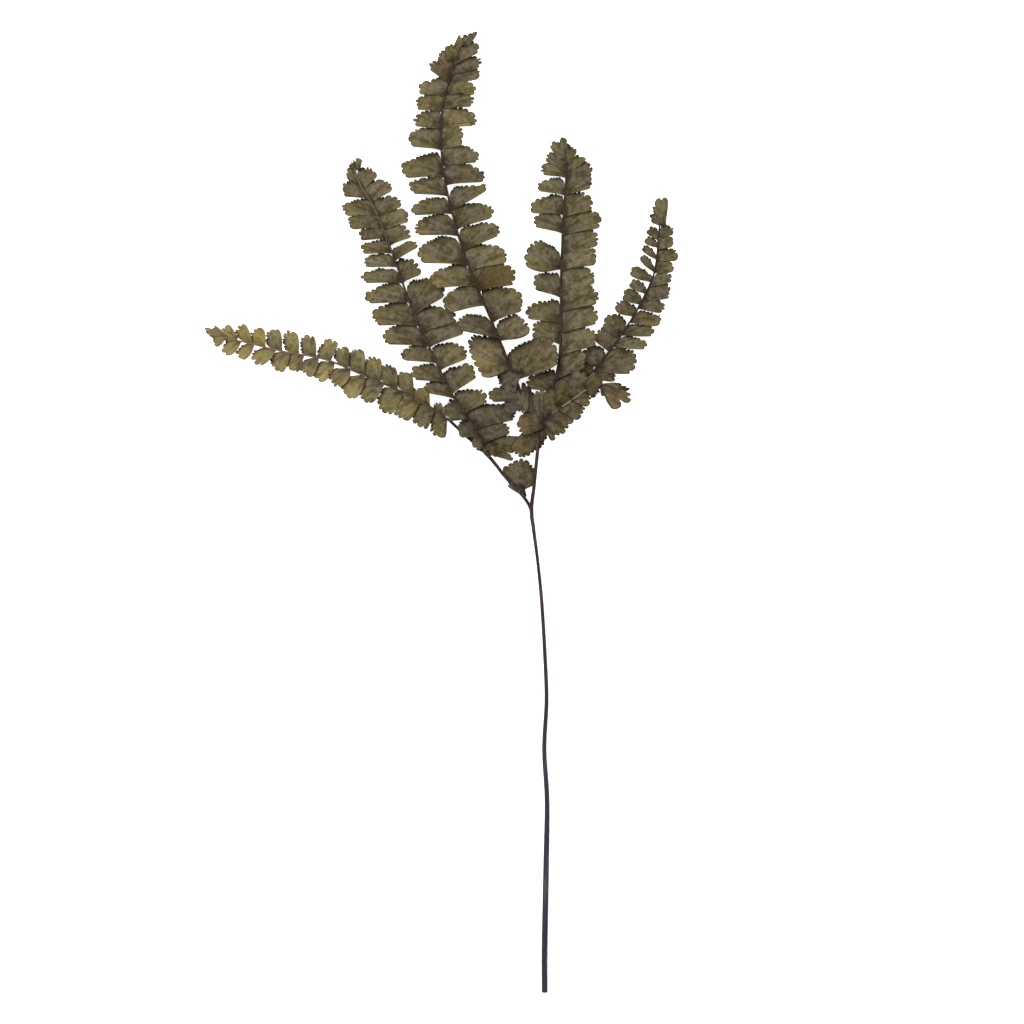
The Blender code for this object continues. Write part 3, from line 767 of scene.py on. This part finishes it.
def make_pinna(plan, leaf, wire):
    """A rachis with its leaflets, each rooted where the plan says along the rachis.

    Tilt, pitch and the base's roundness vary by the first seed's numbers, and colour, teeth
    and relief by the second's.
    """
    axis = plan["along"]
    route = smooth_route(plan["route"], RACHIS_STEPS)
    ahead = tangents_of(route)
    order = np.argsort(route[:, axis])
    place = route[order, axis]
    foot, far_end = plan["route"][0][axis], plan["route"][-1][axis]
    leans = np.random.default_rng(plan["seed"]).uniform(-1, 1, (len(plan["leaflets"]), 2))
    draw = np.random.default_rng(plan["seed"] + SECOND_SEED)
    points, quads, fans, tones = [], [], [], []
    count = 0
    for (at, x, y, width, *special), (more_tilt, more_pitch) in zip(plan["leaflets"], leans):
        root = np.array([np.interp(at, place, route[order, k]) for k in range(3)])
        heading = np.array([np.interp(at, place, ahead[order, k]) for k in range(3)])
        tint = np.interp((at - foot) / (far_end - foot), (0, 1), plan.get("tints", (0, 0)))
        form = {
            "tilt": SHINGLE_TILT + TILT_SPREAD * more_tilt,
            "pitch": PITCH_SPREAD * more_pitch,
            "flare": plan["flare"],
            "base": BASE_ROUND + BASE_SPREAD * more_pitch,
            "tint": draw.uniform(-1, 1) + tint,
            "warmth": draw.uniform(-1, 1),
        }
        if special:
            form.update(special[0])
        tone = (form.pop("tint"), form.pop("warmth"))
        made = leaflet(root, heading, (x, y), width, tone, draw, **form)
        points.append(made[0])
        quads.append(made[1] + count)
        fans.append(made[2])
        tones.append(made[3])
        count += len(made[0])
    new_piece(
        plan["name"] + "_leaflets", np.vstack(points), np.vstack(quads),
        {"fan": np.vstack(fans), "tone": np.vstack(tones)}, leaf, plan["name"],
    )
    route = np.vstack([route[:1] - LEAD_IN * ahead[:1], route])
    run = run_of(route)
    diameters = np.interp(run / run[-1], (0, 1), plan["diameters"]) * plan.get("stout", RACHIS_STOUT)
    points, quads, about = tube(route, diameters / 2, RACHIS_SIDES, RACHIS_RIPPLE)
    new_piece(
        plan["name"] + "_rachis", points, quads, {"round": about}, wire, plan["name"]
    )


# A plan gives the rachis's route in x, y and z, and its diameters and tints from foot to tip.
# A leaflet's row is where it stands along the rachis, its x if `along` is 0 and its y if it is
# 1, then its tip's x and y, its width, and any form of its own.

FAR_LEFT = {
    "name": "pinna_far_left", "flare": 0.3, "slot": "light_leaf", "along": 0, "seed": 11,
    "diameters": (1.7, 0.9), "tints": (-1.2, 2.6), "stout": 0.9,
    "route": (
        (5.65, 53.33, 4.2), (-7, 62, 4.2), (-26, 72, 3.4), (-48, 81.5, 2.0), (-68, 89.5, 1.2),
        (-92, 94, 1.1), (-115, 99.5, 1.6), (-128, 102.4, 2.1),
    ),
    "leaflets": (
        (-127, -137.4, 106.6, 5.5, {"point": 0.6}),
        (-126, -133, 107.5, 5.5), (-119.5, -126.8, 107.3, 7.5), (-112, -117, 109.6, 7),
        (-105, -107.3, 107, 8.5), (-95.5, -98, 106.3, 9), (-85.5, -88, 106, 9),
        (-75.5, -78, 103, 9), (-67, -64.5, 100.8, 9.5), (-56.5, -58, 96.7, 8),
        (-47.5, -50, 95.3, 9.5), (-38.5, -40.5, 90.8, 10), (-28.5, -31, 86.3, 10),
        (-19, -21.5, 82.3, 9), (-10, -13, 73, 10), (0, 1.5, 63.3, 9),
        (-125.5, -132.5, 99, 6, HANGING), (-117, -126.5, 93.6, 7, HANGING),
        (-109.5, -117.5, 90.3, 7, HANGING), (-97, -109, 87.8, 8.5, HANGING), (-90.5, -96.3, 83, 9.5),
        (-82.5, -87.5, 83.6, 9, RESTING), (-72, -80, 81, 8.5, LEANING),
        (-62.5, -73, 79, 9, LEANING), (-53.5, -63, 75.5, 10, LEANING), (-45, -55.5, 69, 10.5, LEANING),
        (-36.3, -45, 66, 12), (-24.8, -34.5, 60, 12.5), (-15.2, -25.3, 56, 13),
        (-6.2, -14.2, 51, 11.5), (1, -2.6, 44.8, 10.5),
    ),
}
DARK_WIRE = rachis_material("dark_rachis", DARK_RACHIS)
LIGHT_LEAF = leaf_material(
    "light_leaf", (0.098, 0.076, 0.036), (0.172, 0.138, 0.056), (0.240, 0.194, 0.074), 0.5
)
make_pinna(FAR_LEFT, LIGHT_LEAF, rachis_material("tan_rachis", TAN_RACHIS))


# The left pinna stands on the same arm, and its lowest leaflets crowd over the arm. One of its
# leaflets is folded over and shows darker and yellower than the rest.

CROWDED = {"tint": -1.8, "warmth": -1.2}

LEFT = {
    "name": "pinna_left", "flare": 0.0, "slot": "olive_leaf", "along": 1, "seed": 12,
    "diameters": (1.6, 0.9),
    "route": (
        (28.2, 33.4, 7.4), (21.5, 46, 8.3), (14, 58, 8.8), (6, 70, 9.4), (-5, 93, 9.8),
        (-16, 117, 9.4), (-26.5, 147, 7.8), (-37.5, 175, 5.6), (-47, 191.5, 4.3),
        (-50, 200.5, 3.9),
    ),
    "leaflets": (
        (200, -48.3, 206.2, 6),
        (196, -55, 197.8, 8), (188, -57.5, 189, 9.5), (178, -57, 176.4, 9.5),
        (171, -53.5, 169.4, 10), (163.5, -47.5, 162.4, 8), (155, -46, 153.9, 7.5),
        (147, -45, 145.9, 7.5), (138, -46.5, 136.9, 8), (128, -43.5, 126.2, 10.5),
        (116, -39.2, 114.9, 13), (103.5, -33, 103.2, 12.5), (92.3, -23, 92.6, 9.5),
        (81.3, -16.8, 81.2, 10), (71.5, -9, 73, 8.5), (60, 3.5, 58.5, 12.5, CROWDED),
        (49.5, 10.5, 48.5, 11, CROWDED), (43.5, 19, 39, 10, CROWDED), (38.5, 25.8, 35.5, 6, CROWDED),
        (192.3, -39, 200, 9.5), (185.3, -29.5, 192, 10.5), (177.3, -24, 182, 9.5),
        (169.8, -19.3, 174.3, 10.5), (160.8, -18, 164.8, 10.5), (150.3, -14, 156.8, 9, FOLDED),
        (140, -12.7, 143.5, 12), (123.5, 1, 132.6, 16.5), (111.3, 8.5, 115.8, 12.5),
        (102.3, 12.3, 109.3, 12), (89.5, 15, 94.5, 13), (75, 19.3, 83.8, 12.5),
        (63, 26, 69.5, 11.5), (55, 43.3, 59.5, 12.5, CROWDED), (46, 39.3, 51, 12, CROWDED),
        (39.5, 41, 44, 8, CROWDED), (37, 42.5, 31.5, 4.5, CROWDED),
        (39.7, 47.5, 39, 10.5, {
            "flare": 0.4, "flip": True, "tilt": 0.0, "pitch": 1.5, "tint": -2.2,
        }),
    ),
}
OLIVE_LEAF = leaf_material(
    "olive_leaf", (0.050, 0.037, 0.020), (0.107, 0.085, 0.037), (0.154, 0.123, 0.050)
)
make_pinna(LEFT, OLIVE_LEAF, rachis_material("half_tan_rachis", HALF_TAN_RACHIS))


# The centre pinna is the tallest. It arches over its neighbours and comes down at its tip.
# Two large fan-shaped leaflets hang near its foot.

CENTRE = {
    "name": "pinna_centre", "flare": 0.0, "slot": "olive_leaf", "along": 1, "seed": 13,
    "diameters": (1.6, 0.9), "tints": (-0.9, 0.4),
    "route": (
        (54.9, 42.5, 11.4), (50.5, 56, 12.8), (46, 72, 14.4), (38.5, 90, 15.5),
        (30, 111, 16.0), (21, 132, 15.6), (13, 153, 14.2), (5.5, 180, 11.2),
        (1, 205, 7.3), (0.8, 232, 3.7), (4.5, 250, 1.7), (10, 268, 1.5), (15, 275, 1.8),
    ),
    "leaflets": (
        (273, 21.3, 281, 6, {"point": 0.85}),
        (268.5, 12, 277.6, 7, {"point": 0.7}), (264, 6, 273, 8.5), (259, -0.5, 268, 8.5),
        (255, -6, 261.5, 8.5), (247.5, -12.5, 248.7, 9.5), (239, -14.6, 239.5, 9.5),
        (229, -15.3, 229, 10.5), (218, -18.6, 218, 12), (202.5, -22.5, 200.5, 12.7),
        (190, -17.5, 190, 10.3),
        (179, -17, 176.5, 9.4), (167.5, -15, 166, 11.8), (152, -13.2, 151.7, 14.6),
        (138, -6, 136.2, 12), (127.5, 2.3, 120.8, 13.5), (107.5, 9.8, 110.6, 11),
        (87.5, 17.5, 91.8, 21.5, {"flare": 0.45, "slant": (0.35, 0.6), "tint": 0.6, "warmth": 0.6}),
        (83, 38, 70.5, 12, {"tint": -2.0, "warmth": -1.0}), (70, 28.5, 68, 9.5, CROWDED),
        (68, 37, 60.5, 12, {"tint": -1.6, "warmth": -2.0}),
        (267.5, 23, 271.5, 11, {"tilt": 20.0, "point": 0.5}), (260.5, 23.3, 263.8, 9.5),
        (254.5, 23, 257, 9.5, RESTING),
        (248.5, 20, 247.5, 9.5, RESTING), (240, 19.5, 239.8, 8.5), (230.5, 20.5, 230, 11.5),
        (219, 13.5, 219.5, 14), (207.9, 22.5, 208, 10.6), (196.9, 26, 197.7, 11.2),
        (181, 26.5, 190, 10.2, {"point": 0.5}), (171, 30, 176.8, 11.9), (158.5, 34, 165.3, 12),
        (147.4, 38, 151.4, 13.2), (137, 43, 139.5, 15.5, {"tint": -1.2, "warmth": 1.9}),
        (119.9, 47, 124.9, 18),
        (100.5, 49, 112, 13.5, {"flare": 0.7, "slant": (0.0, 0.0)}), (82, 66.5, 96.8, 19.5, FAN),
        (71, 47, 58.5, 10, {"tint": -0.8, "warmth": -1.0}),
        (66, 57, 62, 13, {"tilt": 2.0, "pitch": -3.0, "tint": -1.8, "warmth": -1.5}),
    ),
}
make_pinna(CENTRE, OLIVE_LEAF, DARK_WIRE)


# The right pinna grows from the right arm. One leaflet on its left is turned on its stalk.

RIGHT = {
    "name": "pinna_right", "flare": 0.0, "slot": "dark_leaf", "along": 1, "seed": 14,
    "diameters": (1.6, 0.9),
    "route": (
        (57.9, 46.5, 9.7), (61, 57, 9.9), (65.5, 72, 10.1), (69, 88, 10.3),
        (70.2, 108, 10.2), (70.2, 136, 9.2), (71.5, 170, 7.0), (73.2, 196, 5.0),
        (72.6, 211, 4.2),
    ),
    "leaflets": (
        (209, 71.8, 219, 8, {"point": 0.85}),
        (206.5, 65.2, 215.6, 8.5, {"point": 0.3}), (203, 61.8, 208.5, 7.5), (200, 58.4, 200.5, 9),
        (189.5, 56.7, 190.8, 8.5), (179, 52.6, 179.3, 10), (168.5, 54.2, 170.8, 10.5),
        (142.8, 51, 152.8, 15.2, {"flare": 0.8}), (132, 54.2, 134.8, 12),
        (116.5, 50.4, 117.8, 12),
        (105.5, 53.4, 107, 13.5), (76.3, 50.8, 76.8, 11.3),
        (206.5, 79, 212, 8, {"point": 0.5}), (202, 84.5, 206.3, 8, {"point": 0.6}),
        (198, 89, 200.5, 10.5), (190.5, 88.3, 193, 10.5), (179, 88, 181.5, 13),
        (169, 93, 171.8, 13.5), (158, 92, 160.5, 13), (148, 90.8, 150.5, 13),
        (135, 90, 137.5, 15.5), (124.5, 91.7, 127, 13.5), (112.5, 91.4, 115.8, 14.5),
        (99, 90.8, 103.5, 14), (86, 85, 91, 14), (74, 78, 78, 13),
    ),
}
DARK_LEAF = leaf_material(
    "dark_leaf", (0.046, 0.035, 0.020), (0.099, 0.080, 0.036), (0.139, 0.112, 0.048)
)
make_pinna(RIGHT, DARK_LEAF, DARK_WIRE)


# The far right pinna is the most curved, and its leaflets grow narrow and wedge-shaped towards
# its single end leaflet.

FAR_RIGHT = {
    "name": "pinna_far_right", "flare": 0.2, "slot": "dark_leaf", "along": 1, "seed": 15,
    "diameters": (1.6, 0.9),
    "route": (
        (59.3, 42.5, 11.0), (66, 53, 9.2), (78, 68, 7.2), (89, 82, 6.0), (97.9, 93.2, 5.2),
        (106.5, 105, 4.3), (115.9, 120.5, 2.9), (124.5, 139.4, 1.6), (127.1, 160, 1.4),
        (127.7, 168, 1.7),
    ),
    "leaflets": (
        (167.5, 128.4, 183, 9, {"teeth": 3.6, "cut": 1.4, "slant": (0.0, 0.0), "flip": True}),
        (161, 120.7, 165.5, 5.5), (155, 119.8, 160.2, 4.5, HANGING), (148, 118, 155.5, 4.2, HANGING),
        (140.5, 117, 150, 4.4, HANGING), (135, 111.2, 141.8, 6.4, HANGING),
        (128, 111.2, 135.2, 5.7, HANGING), (122, 107, 128.8, 7.5, HANGING),
        (115, 103, 121.8, 8, HANGING), (105, 96.3, 113.2, 12),
        (97, 91.5, 106.5, 11), (88, 84, 95, 12), (80, 80.5, 87, 11),
        (162.5, 135.6, 165.5, 6), (156.5, 136, 158.5, 7.4), (149.5, 138.2, 151, 7.4, RESTING),
        (143, 135.6, 144.5, 8.4, RESTING), (134.5, 134.9, 138, 7), (127, 134.3, 130.5, 9.3),
        (121.5, 131, 119.6, 7.3), (113.5, 128.3, 112.1, 7.7), (106, 124.3, 106, 7.2),
        (99, 120.3, 98.2, 7), (88, 113.8, 88, 15), (80.5, 102, 78.5, 6),
    ),
}
make_pinna(FAR_RIGHT, DARK_LEAF, DARK_WIRE)


# The low right pinna is short, lies over the others, and is the brownest. It lies turned over,
# so its rachis shows its pale side, and it ends in a broad lobed leaflet.

LOW_RIGHT = {
    "name": "pinna_low_right", "flare": 0.25, "slot": "brown_leaf", "along": 0, "seed": 16,
    "diameters": (1.2, 0.5), "stout": 1.0,
    "route": (
        (58.26, 50.34, 12.66), (58.9, 52, 13.2), (62, 55, 15.2), (68.5, 59.8, 16.9), (76, 65, 17.8),
        (83.5, 70.5, 17.8), (91, 74, 16.8), (96, 75, 16.0),
    ),
    "leaflets": (
        (95.7, 108, 62.3, 12, {"flare": 0.65, "teeth": 4.6, "cut": 2.0, "warmth": 1.5, "tint": 0.6}),
        (94.5, 96.2, 67.3, 5, {"tint": -1.5}),
        (84.5, 93, 77.5, 10), (78, 83, 82, 11.5), (71, 75, 77, 12, {"warmth": 2.0}),
        (65, 66.5, 72, 12, {"warmth": 1.5}), (61.5, 57.8, 71.5, 11),
        (61, 44.5, 50, 12, {"tilt": 1.0, "pitch": 4.0, "tint": -0.6}),
        (79, 87.3, 65, 7.5), (72.5, 83, 58.5, 11), (66.5, 77.8, 53, 10.5),
        (62.5, 72.8, 47.5, 11.5), (60.2, 66.4, 42.6, 4.5),
        (58.7, 45, 32.6, 12.5, {
            "flip": True, "tilt": 2.0, "pitch": -9.0, "tint": -1.2, "warmth": 0.9,
        }),
    ),
}
BROWN_LEAF = leaf_material(
    "brown_leaf", (0.041, 0.029, 0.016), (0.083, 0.062, 0.030), (0.132, 0.095, 0.040)
)
make_pinna(LOW_RIGHT, BROWN_LEAF, rachis_material("pale_rachis", PALE_RACHIS))


# The basal leaflet. One small stalked fan sits in the fork, with a narrow blade behind the arm.

BASAL = {
    "name": "basal_leaflet", "flare": 0.0, "slot": "olive_leaf", "along": 1, "seed": 17,
    "diameters": (1.1, 0.9),
    "route": ((49.4, 10.7, 3.0), (49, 12.5, 2.9), (48.7, 14.5, 2.8)),
    "leaflets": (
        (13.5, 43.7, 30, 14.4, {"flare": 0.75, "tilt": 0.0, "pitch": 1.0, "tint": -0.7}),
        (13, 39.2, 18.2, 7, {"tilt": 0.0, "pitch": -6.0}),
    ),
}
make_pinna(BASAL, OLIVE_LEAF, DARK_WIRE)
